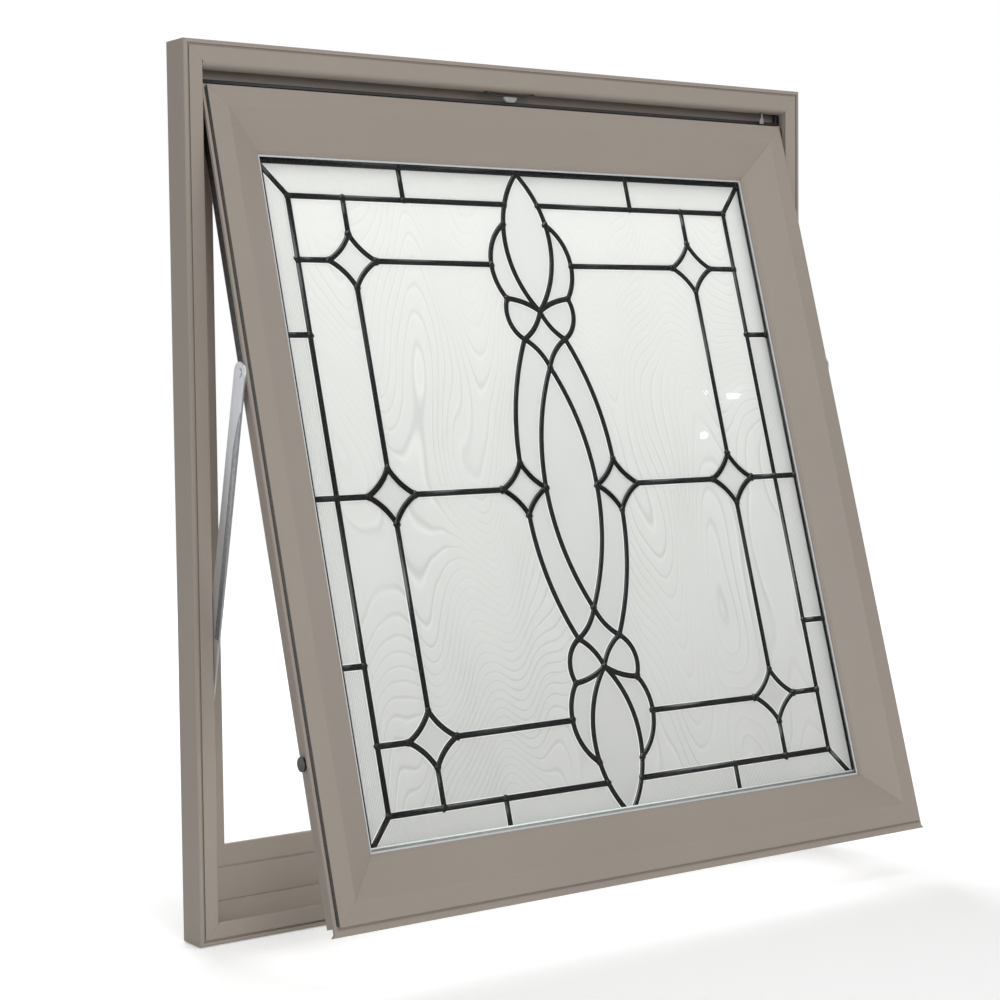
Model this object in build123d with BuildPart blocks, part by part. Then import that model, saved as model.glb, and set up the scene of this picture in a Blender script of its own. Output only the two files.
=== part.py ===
from build123d import *
from math import asin, cos, radians, sin
import os

os.makedirs("parts", exist_ok=True)

# A top-hung window with a leaded decorative glass unit, standing open.
# The outside faces -Y. The origin is the middle of the sill's bottom face.

# Outer frame
frame_width = 910
frame_height = 1000
frame_depth = 40
frame_wall = 12              # solid back of the section, behind the channel
frame_lip = 23.5             # width of the front face, from the outer edge
lip_thickness = 4
edge_round = 1.2
band_width = 4.5             # narrow outer band, set off by a groove
groove_width = 2.5
groove_depth = 2.4
leg_thickness = 5
leg_reach = 51               # inner stop leg, from the outer edge
sill_lip = 25
sill_step = 40               # top of the sill's cove
cove_rise_share = 0.25       # where the cove's middle is, as shares of its rise and depth
cove_depth_share = 0.55
upstand_height = 103.5
upstand_groove_height = 77.5
upstand_groove_width = 2
upstand_groove_depth = 1.2

# Sash
open_angle = 16
sash_inset = 31.5            # side of the frame to the sash face's edge
sash_shortness = 80          # frame height less the sash face's height
sash_depth = 30              # outer part, closes against the stop leg
back_ease = 1.5              # small chamfer on the back edge
crown_width = 22             # outer band of the face
crown_drop = 1.2
splay_end = 58.5             # where the splay meets the bead, from the face edge
splay_drop = 20
bead_round = 2.5
bead_shoulder = 1.5
bead_fall = 4.5
sight_width = 64             # sight line of the stiles, from the face edge
rail_sight_width = 69        # the same on the top and bottom rails, whose section is stretched
sight_drop = 26
sash_groove = 2.2
sash_groove_depth = 6
sash_lip = 5.5               # outer lip, beyond the face edge
drip_lip = 9                 # the same on the bottom rail
lip_setback = 4.5
lip_back = 8.5
side_step = 0.5              # body side, beyond the face edge
pocket_wall = 2.0
pocket_depth = 51            # back of the glass pocket

# Stay hinge
pivot_setback = 16           # pivot line behind the frame's front plane
top_pivot_drop = 18          # shoe pivot below the sash face's top edge
top_pivot_below = 68.3       # shoe pivot below the frame's top
link_share = 0.333           # shoe pivot to stay pivot, as a share of the sash height
stay_share = 0.4             # the same for the stay's length
stay_width = 24
stay_thickness = 2
stay_offset = 23.8           # near face of the stay, from the frame's side
track_width = 20
track_depth = 8
track_gauge = 1.5
track_margin = 30
bar_thickness = 2.4
bar_width = 14
pin_radius = 3
boss_radius = 5
boss_thickness = 1
shoe_length = 44
fit = 0.3                    # gap at sliding and seated faces

# Locking
lock_rise = 172              # lock pin above the sash face's bottom edge
lock_setback = 20
lock_head_radius = 8
lock_head_thickness = 2
lock_stem_radius = 3
lock_base_radius = 5
lock_base_thickness = 1

# Head fittings
stop_place = -17             # middle of the head stop, from the window's middle
stop_width = 16
stop_bracket_width = 72
stop_setback = 8
stop_bracket_thickness = 3
stop_drop = 14               # below the channel's roof
stop_block_drop = 17
stop_block_thickness = 4
stop_block_slope = 80

# Seal
seal_height = 4.4
seal_width = 4
seal_inset = 15              # from the face edge
seal_gap = 1                 # between its strips at the corners

# Glass unit
glass_bite = 5.5             # edge of the unit behind the sight line
pane_thickness = 3
front_gap = 1.5              # between the outer pane and the leaded panel
back_gap = 4
gasket_thickness = 1.2
gasket_show = 2.0            # how far the gasket shows inside the sight line
spacer_width = 5
bead_width = 14
bead_thickness = 5
bead_slope = 3
bead_nose = 2

# Leaded panel: came section and glass
came_width = 6.2
came_height = 5.5
flange = 0.9
heart = 1.4
cut_gap = 0.4                # glass edge to heart
lead_gap = 0.3               # glass face to flange
edge_came_inset = 0.5        # line of the edge came, inside the sight line
panel_drop = 4               # the pattern sits this much below the glass's middle

# Leaded pattern, drawn for a glass of this size and measured from its middle;
# it is stretched to fit the glass that the sash leaves
pattern_half_width = 359.5
pattern_half_height = 391
border_side_band = 34.5      # width of the border pieces at the sides
border_end_band = 40.5       # the same at the top and bottom
corner_across = 253          # bevelled corner squares
corner_up = 275
square_half = 32
square_dish = 3.5            # how far a square's sides curve in
middle_across = 69.3         # squares beside the middle
middle_half = 31.4
border_tick_across = 170
border_tick_up = 187
bud_middle = 181.5           # small four-sided bud above the middle oval
bud_tip = 216.3
bud_foot = 146.8
bud_half = 30.3
blade_half = 33.5            # pointed oval that runs up to the sight line
horn_across = 59.6           # crescent beside the blade
horn_up = 274.2
horn_top_up = 326
horn_foot_across = 45.4
horn_foot_up = 232.2
horn_upper_bend = (51, 305)
horn_lower_bend = (55.5, 250)
horn_inner_bend = (21, 227)
ear_across = 49.2
ear_up = 209.5
bud_upper_bend = (12.7, 195.5)
bud_lower_bend = (12.7, 167.5)
ribbon_bend = (56, 118)
oval_bend = (26.5, 82)

# Worked-out sizes and places
sash_width = frame_width - 2 * sash_inset
sash_height = frame_height - sash_shortness
link_length = link_share * sash_height
stay_length = stay_share * sash_height
pocket_floor = sight_width - glass_bite
front = -frame_depth / 2
frame_home = Plane(origin=(0, front, frame_height / 2), x_dir=(1, 0, 0), z_dir=(0, -1, 0))
tilt = radians(open_angle)
pivot_y = front + pivot_setback
top_pivot = Vector(0, pivot_y, frame_height - top_pivot_below)
up_sash = Vector(0, sin(tilt), cos(tilt))
out_sash = Vector(0, -cos(tilt), sin(tilt))
stay_pivot = top_pivot - up_sash * link_length
stay_lean = asin(link_length * sin(tilt) / stay_length)
frame_pivot = stay_pivot + Vector(0, sin(stay_lean), -cos(stay_lean)) * stay_length
closed_rise = stay_length + link_length - (top_pivot.Z - frame_pivot.Z)
sash_top = top_pivot + up_sash * top_pivot_drop + out_sash * pivot_setback
sash_home = Plane(origin=sash_top - up_sash * (sash_height / 2), x_dir=(1, 0, 0), z_dir=out_sash)
side_face = frame_width / 2 - sash_width / 2 - side_step
glass_half_width = sash_width / 2 - sight_width
glass_half_height = sash_height / 2 - rail_sight_width
glass_width = 2 * glass_half_width
glass_height = 2 * glass_half_height
rail_stretch = rail_sight_width / sight_width
unit_half_width = glass_half_width + glass_bite
unit_half_height = glass_half_height + glass_bite

inward_ways = {"bottom": (0, 1), "top": (0, -1), "left": (1, 0), "right": (-1, 0)}


# The two planes of one bar of a four-sided ring: its cross-section plane, with
# x to the inside and y to the outside of the house, and its face plane.
def bar_planes(home, width, height, side):
    across, up = inward_ways[side]
    inward = home.x_dir * across + home.y_dir * up
    along = inward.cross(home.z_dir)
    reach = height / 2 if side in ("bottom", "top") else width / 2
    half = width / 2 if side in ("bottom", "top") else height / 2
    middle = home.origin - inward * reach
    section = Plane(origin=middle, x_dir=inward, z_dir=along)
    face = Plane(origin=middle, x_dir=along, z_dir=home.z_dir)
    return section, face, half


# One bar of a ring with mitred ends, from the outline of its cross-section.
# Its ends run in by slope for each unit of its depth.
def mitred_bar(home, width, height, side, outline, outer, inner, slope=1):
    section, face, half = bar_planes(home, width, height, side)
    with BuildPart() as bar:
        with BuildSketch(section):
            with BuildLine():
                Polyline(*outline, close=True)
            make_face()
        extrude(amount=half + 2 * outer, both=True)
        outer_half = half + outer * slope
        inner_half = half - inner * slope
        with BuildSketch(face):
            Polygon((-outer_half, -outer), (outer_half, -outer), (inner_half, inner),
                    (-inner_half, inner), align=None)
        extrude(amount=2 * pocket_depth, both=True, mode=Mode.INTERSECT)
    return bar


# Straight strips of a ring that stop short of each other at the corners.
def ring_strips(home, width, height, near, far, low, high, short):
    with BuildPart() as strips:
        for side in inward_ways:
            section, face, half = bar_planes(home, width, height, side)
            trim = far + short if side in ("left", "right") else near
            with BuildSketch(face.offset(low)):
                with Locations((0, (near + far) / 2)):
                    Rectangle(2 * (half - trim), far - near)
            extrude(amount=high - low)
    return strips


def write(part, name):
    part.label = name
    export_step(part, f"parts/{name}.step")


# Frame bars
outer_edge = [(0, -frame_depth), (0, -edge_round), (edge_round, 0), (band_width, 0),
              (band_width, -groove_depth), (band_width + groove_width, -groove_depth),
              (band_width + groove_width, 0)]
channel_outline = outer_edge + [
    (frame_lip - edge_round, 0), (frame_lip, -edge_round), (frame_lip, -lip_thickness),
    (frame_wall, -lip_thickness), (frame_wall, leg_thickness - frame_depth),
    (leg_reach, leg_thickness - frame_depth), (leg_reach, -frame_depth)]
sill_section, sill_face, sill_half = bar_planes(frame_home, frame_width, frame_height, "bottom")
stop_front = leg_thickness - frame_depth
mitre_low = upstand_height - (leg_reach - frame_wall)

# The jambs' stop legs end in a mitre at the sill's upstand
with BuildPart() as leg_ends:
    with BuildSketch(sill_face.offset(stop_front)):
        Polygon((sill_half - frame_wall, 0), (sill_half - frame_wall, mitre_low),
                (sill_half - leg_reach, upstand_height), (sill_half - leg_reach, 0), align=None)
        mirror(about=Plane.YZ)
    extrude(amount=-leg_thickness)

for side, name in (("top", "frame_head"), ("left", "frame_jamb_left"), ("right", "frame_jamb_right")):
    bar = mitred_bar(frame_home, frame_width, frame_height, side, channel_outline, 0, leg_reach)
    write(bar.part if side == "top" else bar.part - leg_ends.part, name)

# Sill, with a cove that rises from its lip to the stop
cove_back = leg_thickness + groove_width - frame_depth
with BuildPart() as frame_sill:
    with BuildSketch(sill_section):
        with BuildLine():
            Polyline(*outer_edge, (sill_lip - edge_round, 0), (sill_lip, -edge_round),
                     (sill_lip, -lip_thickness))
            ThreePointArc((sill_lip, -lip_thickness),
                          (sill_lip + (sill_step - sill_lip) * cove_rise_share,
                           cove_back * cove_depth_share),
                          (sill_step, cove_back))
            Polyline((sill_step, cove_back), (sill_step, -frame_depth), (0, -frame_depth))
        make_face()
    extrude(amount=sill_half, both=True)
    with BuildSketch(sill_face):
        Polygon((-sill_half, 0), (sill_half, 0), (sill_half - leg_reach, leg_reach),
                (leg_reach - sill_half, leg_reach), align=None)
    extrude(amount=frame_depth, both=True, mode=Mode.INTERSECT)
write(frame_sill.part, "frame_sill")

# Sill upstand, mitred to the jambs' stop legs and running on below them to the
# channels' walls and down to the sill's own mitre
groove_low = upstand_groove_height
groove_high = upstand_groove_height + upstand_groove_width
with BuildPart() as sill_upstand:
    with BuildSketch(sill_section):
        with BuildLine():
            Polyline((frame_wall, -frame_depth), (frame_wall, stop_front), (groove_low, stop_front),
                     (groove_low, stop_front - upstand_groove_depth),
                     (groove_high, stop_front - upstand_groove_depth), (groove_high, stop_front),
                     (upstand_height - edge_round, stop_front),
                     (upstand_height, stop_front - edge_round), (upstand_height, -frame_depth),
                     close=True)
        make_face()
    extrude(amount=sill_half, both=True)
    with BuildSketch(sill_face):
        Polygon((0, sill_step), (sill_half - sill_step, sill_step), (sill_half - frame_wall, frame_wall),
                (sill_half - frame_wall, mitre_low), (sill_half - leg_reach, upstand_height),
                (0, upstand_height), align=None)
        mirror(about=Plane.YZ)
    extrude(amount=frame_depth, both=True, mode=Mode.INTERSECT)
write(sill_upstand.part, "sill_upstand")

# Head stop: a light block on a dark bracket in the head channel
channel_roof = frame_height - frame_wall
with BuildPart() as head_bracket:
    with BuildSketch(Plane.XZ.offset(-front - stop_setback)):
        with Locations((stop_place, channel_roof - stop_drop / 2)):
            Rectangle(stop_bracket_width, stop_drop)
    extrude(amount=-stop_bracket_thickness)
write(head_bracket.part, "head_bracket")

with BuildPart() as head_block:
    with BuildSketch(Plane.XZ.offset(-front - stop_setback)):
        with Locations((stop_place, channel_roof - stop_block_drop / 2)):
            Trapezoid(stop_width, stop_block_drop, stop_block_slope)
    extrude(amount=stop_block_thickness)
write(head_block.part, "head_block")

# Hinge hardware, mirrored for the two sides
for hand, word in ((-1, "left"), (1, "right")):
    wall_x = hand * (frame_width / 2 - frame_wall)
    inside = -hand
    track_low = frame_pivot.Z - track_margin
    track_high = top_pivot.Z + closed_rise + track_margin / 2
    track_middle = (track_low + track_high) / 2
    wall_plane = Plane(origin=(wall_x, pivot_y, 0), x_dir=(0, 1, 0), z_dir=(inside, 0, 0))
    up = 1 if wall_plane.y_dir.Z > 0 else -1

    with BuildPart() as hinge_track:
        with BuildSketch(wall_plane):
            with Locations((0, up * track_middle)):
                Rectangle(track_width, track_high - track_low)
        extrude(amount=track_depth)
        with BuildSketch(wall_plane.offset(track_gauge)):
            with Locations((0, up * track_middle)):
                Rectangle(track_width - 2 * track_gauge, track_high - track_low)
        extrude(amount=track_depth, mode=Mode.SUBTRACT)
    write(hinge_track.part, f"hinge_track_{word}")

    stay_near = stay_offset - frame_wall
    stay_far = stay_near + stay_thickness
    bar_near = side_face - frame_wall - bar_thickness
    with BuildPart() as track_shoe:
        with BuildSketch(wall_plane.offset(track_gauge + fit)):
            with Locations((0, up * top_pivot.Z)):
                SlotOverall(shoe_length, track_width - 2 * track_gauge - 2 * fit, rotation=90)
        extrude(amount=stay_near - track_gauge - fit)
        with BuildSketch(wall_plane.offset(stay_near)):
            with Locations((0, up * top_pivot.Z)):
                Circle(pin_radius)
        extrude(amount=bar_near - stay_near)
    write(track_shoe.part, f"track_shoe_{word}")

    with BuildPart() as stay_arm:
        with BuildSketch(wall_plane.offset(stay_near)):
            with BuildLine():
                Line((frame_pivot.Y - pivot_y, up * frame_pivot.Z),
                     (stay_pivot.Y - pivot_y, up * stay_pivot.Z))
            trace(line_width=stay_width)
            with Locations((frame_pivot.Y - pivot_y, up * frame_pivot.Z),
                           (stay_pivot.Y - pivot_y, up * stay_pivot.Z)):
                Circle(stay_width / 2)
            with Locations((frame_pivot.Y - pivot_y, up * frame_pivot.Z),
                           (stay_pivot.Y - pivot_y, up * stay_pivot.Z)):
                Circle(pin_radius + fit / 2, mode=Mode.SUBTRACT)
        extrude(amount=stay_thickness)
    write(stay_arm.part, f"stay_arm_{word}")

    with BuildPart() as stay_pins:
        with BuildSketch(wall_plane.offset(track_gauge)):
            with Locations((0, up * frame_pivot.Z)):
                Circle(boss_radius)
        extrude(amount=stay_near - fit - track_gauge)
        with BuildSketch(wall_plane.offset(stay_near - fit)):
            with Locations((0, up * frame_pivot.Z)):
                Circle(pin_radius)
        extrude(amount=stay_thickness + 2 * fit)
        with BuildSketch(wall_plane.offset(stay_far + fit)):
            with Locations((0, up * frame_pivot.Z)):
                Circle(boss_radius)
        extrude(amount=boss_thickness)
        with BuildSketch(wall_plane.offset(stay_near - fit)):
            with Locations((stay_pivot.Y - pivot_y, up * stay_pivot.Z)):
                Circle(pin_radius)
        extrude(amount=bar_near - stay_near + fit)
        with BuildSketch(wall_plane.offset(stay_near - fit - boss_thickness)):
            with Locations((stay_pivot.Y - pivot_y, up * stay_pivot.Z)):
                Circle(boss_radius)
        extrude(amount=boss_thickness)
    write(stay_pins.part, f"stay_pins_{word}")

    with BuildPart() as sash_bar:
        with BuildSketch(wall_plane.offset(bar_near)):
            with BuildLine():
                Line((0, up * top_pivot.Z), (stay_pivot.Y - pivot_y, up * stay_pivot.Z))
            trace(line_width=bar_width)
            with Locations((0, up * top_pivot.Z), (stay_pivot.Y - pivot_y, up * stay_pivot.Z)):
                Circle(bar_width / 2)
        extrude(amount=bar_thickness)
    write(sash_bar.part, f"sash_bar_{word}")

    lock_at = sash_top - up_sash * (sash_height - lock_rise) - out_sash * lock_setback
    with BuildPart() as lock_pin:
        with BuildSketch(wall_plane.offset(side_face - frame_wall - lock_base_thickness)):
            with Locations((lock_at.Y - pivot_y, up * lock_at.Z)):
                Circle(lock_base_radius)
        extrude(amount=lock_base_thickness)
        with BuildSketch(wall_plane.offset(stay_far + fit)):
            with Locations((lock_at.Y - pivot_y, up * lock_at.Z)):
                Circle(lock_stem_radius)
        extrude(amount=side_face - frame_wall - stay_far - fit)
        with BuildSketch(wall_plane.offset(stay_far + fit)):
            with Locations((lock_at.Y - pivot_y, up * lock_at.Z)):
                Circle(lock_head_radius)
        extrude(amount=lock_head_thickness)
    write(lock_pin.part, f"lock_pin_{word}")

# Sash bars: face with a crown and a splay, a groove and an outer lip, a deep glass pocket
for side, name in (("top", "sash_top_rail"), ("bottom", "sash_bottom_rail"),
                   ("left", "sash_stile_left"), ("right", "sash_stile_right")):
    lip = drip_lip if side == "bottom" else sash_lip
    stretch, slope = (rail_stretch, 1 / rail_stretch) if side in ("top", "bottom") else (1, rail_stretch)
    outline = [
        (0, -crown_drop), (crown_width, 0), (splay_end, -splay_drop),
        (splay_end + bead_round, -splay_drop - bead_shoulder), (sight_width, -splay_drop - bead_fall),
        (sight_width, -sight_drop), (pocket_floor, -sight_drop), (pocket_floor, -pocket_depth),
        (pocket_floor - pocket_wall, -pocket_depth), (pocket_floor - pocket_wall, -sash_depth),
        (back_ease - side_step, -sash_depth), (-side_step, back_ease - sash_depth),
        (-side_step, -lip_back), (-lip, -lip_back),
        (-lip, -lip_setback), (-sash_groove, -lip_setback), (-sash_groove, -sash_groove_depth),
        (0, -sash_groove_depth)]
    stretched = [(inward * stretch, depth) for inward, depth in outline]
    bar = mitred_bar(sash_home, sash_width, sash_height, side, stretched, lip * stretch,
                     sight_width * stretch, slope)
    write(bar.part, name)

# Seal on the back of the sash, near its edge
sash_seal = ring_strips(sash_home, sash_width, sash_height, seal_inset, seal_inset + seal_width,
                        -sash_depth - seal_height, -sash_depth, seal_gap)
write(sash_seal.part, "sash_seal")

# Glass unit, from the outside in
gasket_low = -sight_drop - gasket_thickness
outer_low = gasket_low - pane_thickness
came_high = outer_low - front_gap
came_low = came_high - came_height
inner_high = came_low - back_gap
inner_low = inner_high - pane_thickness

glazing_gasket = ring_strips(sash_home, glass_width, glass_height, -glass_bite, gasket_show,
                             gasket_low, -sight_drop, fit)
write(glazing_gasket.part, "glazing_gasket")

for name, low in (("outer_pane", outer_low), ("inner_pane", inner_low)):
    with BuildPart() as pane:
        with BuildSketch(sash_home.offset(low)):
            Rectangle(2 * unit_half_width, 2 * unit_half_height)
        extrude(amount=pane_thickness)
    write(pane.part, name)

for name, low, gap in (("spacer_front", came_high, front_gap), ("spacer_back", inner_high, back_gap)):
    spacer = ring_strips(sash_home, glass_width, glass_height, -glass_bite, spacer_width - glass_bite,
                         low, low + gap, fit)
    write(spacer.part, name)

# Inside glazing beads, snapped into the pocket
bead_top = inner_low
bead_end = bead_width - glass_bite
bead_outline = [
    (-glass_bite, bead_top), (bead_end, bead_top), (bead_end, bead_top - bead_nose),
    (bead_end - bead_slope, bead_top - bead_thickness), (-glass_bite, bead_top - bead_thickness)]
for side in inward_ways:
    bar = mitred_bar(sash_home, glass_width, glass_height, side, bead_outline, glass_bite, bead_end)
    write(bar.part, f"glazing_bead_{side}")


# Leaded pattern: each piece of glass is a closed path of centre lines, given
# for the quarter to the right and above the middle, and turned over for the others.
# A side with three points is an arc, and any other is straight from point to point.
edge_across = pattern_half_width - edge_came_inset
edge_up = pattern_half_height - edge_came_inset
border_half_width = pattern_half_width - border_side_band
border_half_height = pattern_half_height - border_end_band
stretch_across = glass_half_width / pattern_half_width
stretch_up = glass_half_height / pattern_half_height


# One curved side of a four-sided bevel, dished towards its middle
def dished(across, up, half, from_tip, to_tip):
    tips = {"up": (across, up + half), "right": (across + half, up),
            "down": (across, up - half), "left": (across - half, up)}
    first, last = tips[from_tip], tips[to_tip]
    keep = 1 - square_dish / (half * 0.5 ** 0.5)
    bent = (across + ((first[0] + last[0]) / 2 - across) * keep,
            up + ((first[1] + last[1]) / 2 - up) * keep)
    return first, bent, last


def square_path(across, up, half):
    turns = ("up", "right", "down", "left", "up")
    return [dished(across, up, half, a, b) for a, b in zip(turns, turns[1:])]


# The blade's side is one arc; its half width at a height comes from the circle
blade_middle = (bud_tip + edge_up) / 2
blade_rise = (edge_up - bud_tip) / 2
blade_radius = (blade_rise ** 2 + blade_half ** 2) / (2 * blade_half)


def blade_across(up):
    return (blade_radius ** 2 - (up - blade_middle) ** 2) ** 0.5 - (blade_radius - blade_half)


def blade_arc(low, high):
    middle = (low + high) / 2
    return ((blade_across(low), low), (blade_across(middle), middle), (blade_across(high), high))


def back(side):
    return side[::-1]


def reverse(path):
    return [back(side) for side in path[::-1]]


# The same path, run so that its inside is on the left
def anticlockwise(path):
    points = [point for side in path for point in side]
    twice_area = sum(a[0] * b[1] - b[0] * a[1] for a, b in zip(points, points[1:] + points[:1]))
    return path if twice_area > 0 else reverse(path)


corner_square = (corner_across, corner_up, square_half)
side_square = (corner_across, 0, square_half)
middle_square = (middle_across, 0, middle_half)
horn_tip = (blade_across(horn_top_up), horn_top_up)
horn_knee = (horn_across, horn_up)
horn_foot = (horn_foot_across, horn_foot_up)
bud_side = (bud_half, bud_middle)
bud_top = (0, bud_tip)
bud_low = (0, bud_foot)
horn_upper = (horn_tip, horn_upper_bend, horn_knee)
horn_lower = (horn_knee, horn_lower_bend, horn_foot)
horn_inner = (horn_foot, horn_inner_bend, bud_top)
ear = (horn_foot, (ear_across, ear_up), bud_side)
bud_upper = (bud_side, bud_upper_bend, bud_top)
bud_lower = (bud_side, bud_lower_bend, bud_low)
ribbon = (bud_side, ribbon_bend, (middle_across, middle_half))
oval = (bud_low, oval_bend, (middle_across - middle_half, 0))
border_corner = (border_half_width, border_half_height)
edge_corner = (edge_across, edge_up)

quarter_paths = {
    "border_glass": [
        [(border_corner, edge_corner, (border_tick_across, edge_up),
          (border_tick_across, border_half_height), border_corner)],
        [(border_corner, edge_corner, (edge_across, border_tick_up),
          (border_half_width, border_tick_up), border_corner)],
        [((border_half_width, border_tick_up), (edge_across, border_tick_up), (edge_across, 0),
          (border_half_width, 0), (border_half_width, border_tick_up))],
        [(blade_arc(border_half_height, edge_up)[0], (border_tick_across, border_half_height),
          (border_tick_across, edge_up), (0, edge_up)),
         back(blade_arc(border_half_height, edge_up))]],
    "field_glass": [
        [((corner_across + square_half, 0), (border_half_width, 0), (border_half_width, corner_up),
          (corner_across + square_half, corner_up)),
         dished(*corner_square, "right", "down"),
         ((corner_across, corner_up - square_half), (corner_across, square_half)),
         dished(*side_square, "up", "right")],
        [((corner_across + square_half, corner_up), (border_half_width, corner_up), border_corner,
          (corner_across, border_half_height), (corner_across, corner_up + square_half)),
         dished(*corner_square, "up", "right")],
        [(blade_arc(horn_top_up, border_half_height)[2], (corner_across, border_half_height)),
         ((corner_across, border_half_height), (corner_across, corner_up + square_half)),
         dished(*corner_square, "up", "left"),
         ((corner_across - square_half, corner_up), horn_knee),
         back(horn_upper), blade_arc(horn_top_up, border_half_height)],
        [((middle_across + middle_half, 0), (corner_across - square_half, 0)),
         dished(*side_square, "left", "up"),
         ((corner_across, square_half), (corner_across, corner_up - square_half)),
         dished(*corner_square, "down", "left"),
         ((corner_across - square_half, corner_up), horn_knee),
         horn_lower, ear, ribbon, dished(*middle_square, "up", "right")]],
    "centre_glass": [
        [blade_arc(bud_tip, horn_top_up), horn_upper, horn_lower, horn_inner],
        [ear, bud_upper, back(horn_inner)],
        [bud_lower, oval, dished(*middle_square, "left", "up"), back(ribbon)]]}


def turned(path, x, z):
    return [tuple((x * across * stretch_across, z * up * stretch_up - panel_drop) for across, up in side)
            for side in path]


# Shapes that lie across the middle lines are made of turned sides
def all_paths():
    paths = {"border_glass": [], "field_glass": [], "centre_glass": [], "corner_bevels": []}
    for x in (-1, 1):
        for z in (-1, 1):
            for name, group in quarter_paths.items():
                paths[name] += [turned(path, x, z) for path in group]
            paths["corner_bevels"].append(turned(square_path(*corner_square), x, z))
        paths["corner_bevels"].append(turned(square_path(*side_square), x, 1))
        paths["corner_bevels"].append(turned(square_path(*middle_square), x, 1))
    for z in (-1, 1):
        for half in ([blade_arc(bud_tip, edge_up)], [back(bud_lower), bud_upper]):
            paths["centre_glass"].append(turned(half, 1, z) + turned(reverse(half), -1, z))
    paths["centre_glass"].append(
        turned([back(oval)], 1, 1) + turned([oval], -1, 1)
        + turned([back(oval)], -1, -1) + turned([oval], 1, -1))
    return paths


# Flat shape of one piece, drawn back from its centre lines
def cut_piece(path, inset):
    with BuildSketch() as piece:
        with BuildLine():
            for side in anticlockwise(path):
                if len(side) == 3:
                    ThreePointArc(*side)
                else:
                    Polyline(*side)
        make_face()
        offset(amount=-inset)
    return piece.sketch.faces()


# All pieces of a group, drawn back by the same inset
def cut_group(group, inset):
    return [face for path in group for face in cut_piece(path, inset)]


paths = all_paths()
came_home = sash_home.offset(came_low)

# Came lattice: two flanges and the heart between them
every_path = [path for group in paths.values() for path in group]
flange_holes = cut_group(every_path, came_width / 2)
heart_holes = cut_group(every_path, heart / 2)
with BuildPart() as came_lattice:
    for low, high, holes in ((0, flange, flange_holes), (flange, came_height - flange, heart_holes),
                             (came_height - flange, came_height, flange_holes)):
        with BuildSketch(came_home.offset(low)):
            Rectangle(2 * unit_half_width, 2 * unit_half_height)
            add(holes, mode=Mode.SUBTRACT)
        extrude(amount=high - low)
write(came_lattice.part, "came_lattice")

# Glass cut to the pattern, held in the came
glass_plane = came_home.offset(flange + lead_gap)
glass_thickness = came_height - 2 * (flange + lead_gap)
for name, group in paths.items():
    pieces = cut_group(group, heart / 2 + cut_gap)
    with BuildPart() as glass:
        with BuildSketch(glass_plane):
            add(pieces)
        extrude(amount=glass_thickness)
    write(glass.part, name)
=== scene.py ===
import bpy
import bmesh
import math
import random
from mathutils import Matrix, Vector


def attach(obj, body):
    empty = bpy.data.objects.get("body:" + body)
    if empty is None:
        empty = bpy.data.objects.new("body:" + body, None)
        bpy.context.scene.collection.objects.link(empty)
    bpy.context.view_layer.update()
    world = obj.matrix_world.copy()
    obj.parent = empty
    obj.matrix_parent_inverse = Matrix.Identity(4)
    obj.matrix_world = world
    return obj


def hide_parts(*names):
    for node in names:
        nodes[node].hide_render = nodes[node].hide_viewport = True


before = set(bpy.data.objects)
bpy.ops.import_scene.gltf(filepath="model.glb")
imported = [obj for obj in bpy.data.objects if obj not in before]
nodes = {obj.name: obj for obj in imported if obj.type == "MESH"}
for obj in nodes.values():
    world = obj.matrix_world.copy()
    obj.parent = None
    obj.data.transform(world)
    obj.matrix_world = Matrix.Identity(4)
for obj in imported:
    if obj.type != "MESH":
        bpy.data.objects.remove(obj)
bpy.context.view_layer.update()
scene = bpy.context.scene
scene.view_settings.view_transform = "Standard"
print("frame loaded:", len(nodes), "nodes")

# where the photographer stood, in metres from the middle of the sill's underside
photoView = {
    "place": (-1.5635, -2.1440, 0.6421),
    "right": (0.81210, -0.58342, -0.01047),
    "down": (-0.04462, -0.04419, -0.99803),
    "forward": (0.58181, 0.81097, -0.06192),
    "lens": 78.07,
    "sensor": 36.0,
}

# the open sash: its face's middle, how far it leans out, and the leaded panel in it
sash = {
    "faceMiddle": (0.0, -0.141212, 0.511232),
    "tilt": 16.0,
    "panelDepth": 34.45,        # the panel's middle behind the face, in millimetres
    "panelDrop": 4.0,           # and below the glass's middle
}


# a point given across, up and behind the sash's face, in millimetres
def onSash(across, up, behind):
    lean = math.radians(sash["tilt"])
    upWay = Vector((0, math.sin(lean), math.cos(lean)))
    outWay = Vector((0, -math.cos(lean), math.sin(lean)))
    inPlane = Vector((across, 0, 0)) + upWay * up - outWay * behind
    return Vector(sash["faceMiddle"]) + inPlane * 0.001


def setCamera():
    cameraData = bpy.data.cameras.new("photoCamera")
    camera = bpy.data.objects.new("photoCamera", cameraData)
    scene.collection.objects.link(camera)
    right, down, forward = (Vector(photoView[k]) for k in ("right", "down", "forward"))
    turn = Matrix((right, -down, -forward)).transposed().to_4x4()
    camera.matrix_world = Matrix.Translation(Vector(photoView["place"])) @ turn
    cameraData.lens = photoView["lens"]
    cameraData.sensor_width = photoView["sensor"]
    cameraData.sensor_fit = "HORIZONTAL"
    cameraData.clip_end = 50
    scene.camera = camera


setCamera()
print("camera set")


# an empty material and its node tree
def newMaterial(name):
    material = bpy.data.materials.new(name)
    material.use_nodes = True
    material.node_tree.nodes.clear()
    return material, material.node_tree


# one shader node, with its options and socket values
def put(tree, kind, options=None, **sockets):
    node = tree.nodes.new("ShaderNode" + kind)
    for key, value in (options or {}).items():
        setattr(node, key, value)
    for key, value in sockets.items():
        node.inputs[key.replace("_", " ")].default_value = value
    return node


def join(tree, fromNode, fromSocket, toNode, toSocket):
    tree.links.new(fromNode.outputs[fromSocket], toNode.inputs[toSocket])


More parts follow.
